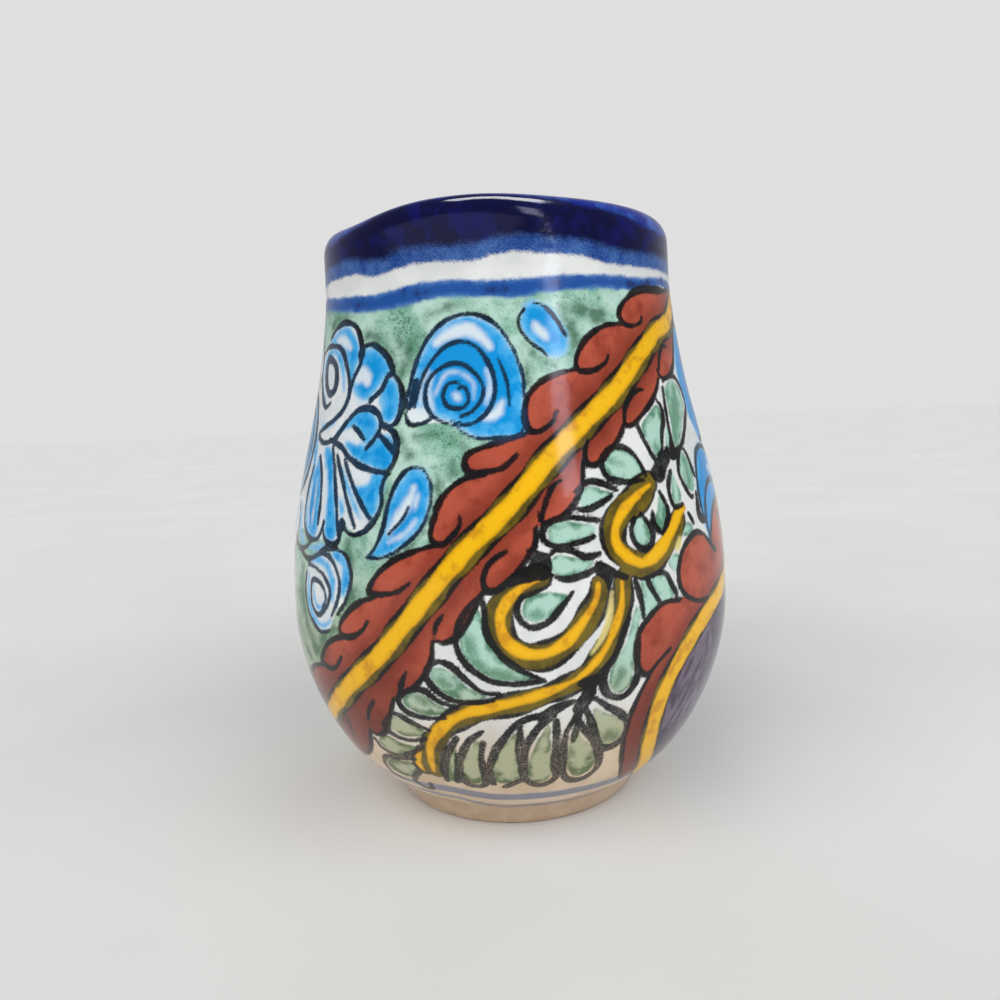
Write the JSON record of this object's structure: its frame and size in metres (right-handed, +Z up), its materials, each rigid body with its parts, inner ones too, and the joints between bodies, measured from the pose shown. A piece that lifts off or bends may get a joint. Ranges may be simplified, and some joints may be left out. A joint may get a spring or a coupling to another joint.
{
  "type": "pottery pitcher",
  "caption": "Hand-thrown round-bellied pottery pitcher with a pulled spout, a strap handle and hand-painted glaze, for pouring and storing drinks.",
  "frame": {"origin": "centre of the foot's flat underside, on the axis that the vessel was thrown about", "axes": "+Z up along the axis of the vessel, -Y towards the side of the spout, which is turned 8 degrees from it towards -X"},
  "size_m": [0.12, 0.1583, 0.151],
  "materials": {
    "painted_glaze": "glossy tin glaze, painted by hand in green, blue, red-brown, yellow and black on cream",
    "cobalt_glaze": "glossy dark cobalt blue glaze with softer speckled edges",
    "cream_glaze": "glossy cream tin glaze, slightly uneven",
    "bare_clay": "matt unglazed buff-pink earthenware"
  },
  "bodies": {
    "root": {"foot": "bare_clay", "body": "painted_glaze", "collar_with_spout": "cobalt_glaze", "handle": "cobalt_glaze", "upper_handle_luting": "cobalt_glaze", "lower_handle_luting": "cobalt_glaze"}
  },
  "joints": []
}
